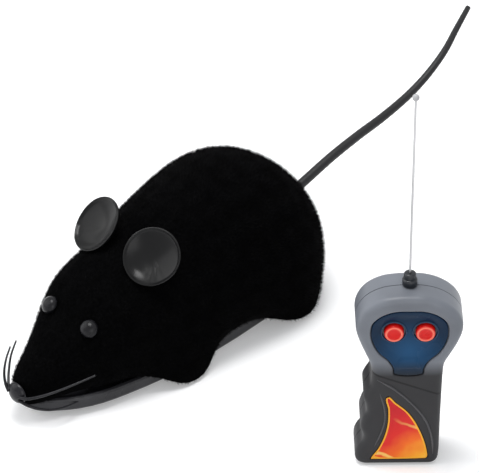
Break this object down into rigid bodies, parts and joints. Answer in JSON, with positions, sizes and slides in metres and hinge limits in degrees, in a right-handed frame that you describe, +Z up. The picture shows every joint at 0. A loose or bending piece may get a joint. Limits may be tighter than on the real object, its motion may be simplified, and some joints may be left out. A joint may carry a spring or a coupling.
{
  "type": "radio-controlled mouse cat toy with transmitter",
  "caption": "Flock-covered toy mouse on a wheeled motor chassis with rubber ears and tail, and an upright hand transmitter with push buttons and a thin aerial.",
  "frame": {"origin": "centre of the set's footprint box, on the floor", "axes": "+X to the mouse's left and towards the transmitter, +Y from nose to tail, +Z up"},
  "size_m": [0.1605, 0.2396, 0.1507],
  "materials": {
    "flocked_shell": "short black flock over a moulded plastic shell",
    "chassis_plastic": "fine-textured dark grey",
    "screw_steel": "plain zinc",
    "cell": "green film wrap",
    "contact_steel": "nickel plated",
    "axle_steel": "ground",
    "gear_plastic": "natural white, as moulded",
    "motor_metal": "zinc-plated can",
    "brass": "turned",
    "tyre": "plain soft rubber",
    "board": "green coated laminate",
    "chip": "black moulded",
    "soft_rubber": "satin dark grey, moulded",
    "bead": "polished black bead",
    "remote_plastic": "fine-textured charcoal",
    "panel_plastic": "satin dark blue",
    "printed_film": "red to yellow printed film",
    "button_plastic": "satin red",
    "aerial_steel": "plated spring wire",
    "tip_plastic": "off-white bead"
  },
  "bodies": {
    "mouse": {"body_shell": "flocked_shell", "chassis": "chassis_plastic", "shell_screw_front_left": "screw_steel", "shell_screw_front_right": "screw_steel", "shell_screw_rear": "screw_steel", "battery_cell_left": "cell", "battery_cell_right": "cell", "spring_contact": "contact_steel", "plate_contact": "contact_steel", "bridge_contact": "contact_steel", "gear_pin": "axle_steel", "motor_can": "motor_metal", "motor_end_cap": "gear_plastic", "gearbox_frame": "gear_plastic", "axle_bush_left": "brass", "axle_bush_right": "brass", "receiver_board": "board", "receiver_chip": "chip", "smoothing_capacitor": "chip", "switch_body": "contact_steel", "ear_left": "soft_rubber", "ear_right": "soft_rubber", "eye_left": "bead", "eye_right": "bead", "nose_and_whiskers": "soft_rubber", "tail": "soft_rubber"},
    "drive_axle": {"rear_axle": "axle_steel", "axle_gear": "gear_plastic", "wheel_hub_left": "chassis_plastic", "tyre_left": "tyre", "wheel_hub_right": "chassis_plastic", "tyre_right": "tyre"},
    "compound": {"compound_gear": "gear_plastic"},
    "rotor": {"motor_shaft": "axle_steel", "motor_pinion": "brass"},
    "castor": {"castor_fork": "gear_plastic", "castor_retainer": "contact_steel"},
    "castor_roller": {"castor_wheel": "tyre", "castor_axle": "axle_steel"},
    "power_slider": {"switch_slider": "gear_plastic"},
    "bay_door": {"battery_door": "chassis_plastic", "door_screw": "screw_steel"},
    "transmitter": {"remote_front_shell": "remote_plastic", "remote_rear_shell": "remote_plastic", "face_panel": "panel_plastic", "grip_label": "printed_film", "button_switch_left": "chip", "button_switch_right": "chip", "remote_board": "board", "remote_cell": "cell", "remote_spring_contact": "contact_steel", "remote_plate_contact": "contact_steel", "remote_screw_upper": "screw_steel", "remote_screw_lower": "screw_steel", "antenna_collar": "remote_plastic", "antenna_wire": "aerial_steel", "antenna_tip": "tip_plastic"},
    "left_key": {"button_left": "button_plastic"},
    "right_key": {"button_right": "button_plastic"},
    "transmitter_door": {"remote_battery_door": "remote_plastic"}
  },
  "joints": [
    {"name": "axle_spin", "type": "hinge", "parent": "mouse", "child": "drive_axle", "pos_m": [-0.04673, -0.00543, 0.0115], "axis": [1, 0, 0], "continuous": true},
    {"name": "compound_spin", "type": "hinge", "parent": "mouse", "child": "compound", "pos_m": [-0.04673, -0.00955, 0.02034], "axis": [1, 0, 0], "continuous": true},
    {"name": "rotor_spin", "type": "hinge", "parent": "mouse", "child": "rotor", "pos_m": [-0.04673, -0.00467, 0.02878], "axis": [1, 0, 0], "continuous": true},
    {"name": "castor_swing", "type": "hinge", "parent": "mouse", "child": "castor", "pos_m": [-0.04673, -0.09593, 0.013], "axis": [0, 0, 1], "range_deg": [0, 40]},
    {"name": "castor_roll", "type": "hinge", "parent": "castor", "child": "castor_roller", "pos_m": [-0.04673, -0.09293, 0.0055], "axis": [1, 0, 0], "continuous": true},
    {"name": "switch_slide", "type": "slide", "parent": "mouse", "child": "power_slider", "axis": [1, 0, 0], "range_m": [0, 0.0025]},
    {"name": "bay_door_off", "type": "slide", "parent": "mouse", "child": "bay_door", "axis": [0, 0, -1], "range_m": [0, 0.03]},
    {"name": "transmitter_lift", "type": "slide", "parent": "mouse", "child": "transmitter", "axis": [0, 0, 1], "range_m": [0, 0.1]},
    {"name": "left_press", "type": "slide", "parent": "transmitter", "child": "left_key", "axis": [-0.7071, 0.7071, 0], "range_m": [0, 0.0008], "stiffness_N_per_m": 800},
    {"name": "right_press", "type": "slide", "parent": "transmitter", "child": "right_key", "axis": [-0.7071, 0.7071, 0], "range_m": [0, 0.0008], "stiffness_N_per_m": 800},
    {"name": "transmitter_door_off", "type": "slide", "parent": "transmitter", "child": "transmitter_door", "axis": [-0.7071, 0.7071, 0], "range_m": [0, 0.03]}
  ],
  "couplings": [
    {"joint": "compound_spin", "follows": "axle_spin", "ratio": -2.2},
    {"joint": "rotor_spin", "follows": "axle_spin", "ratio": 6.6}
  ]
}
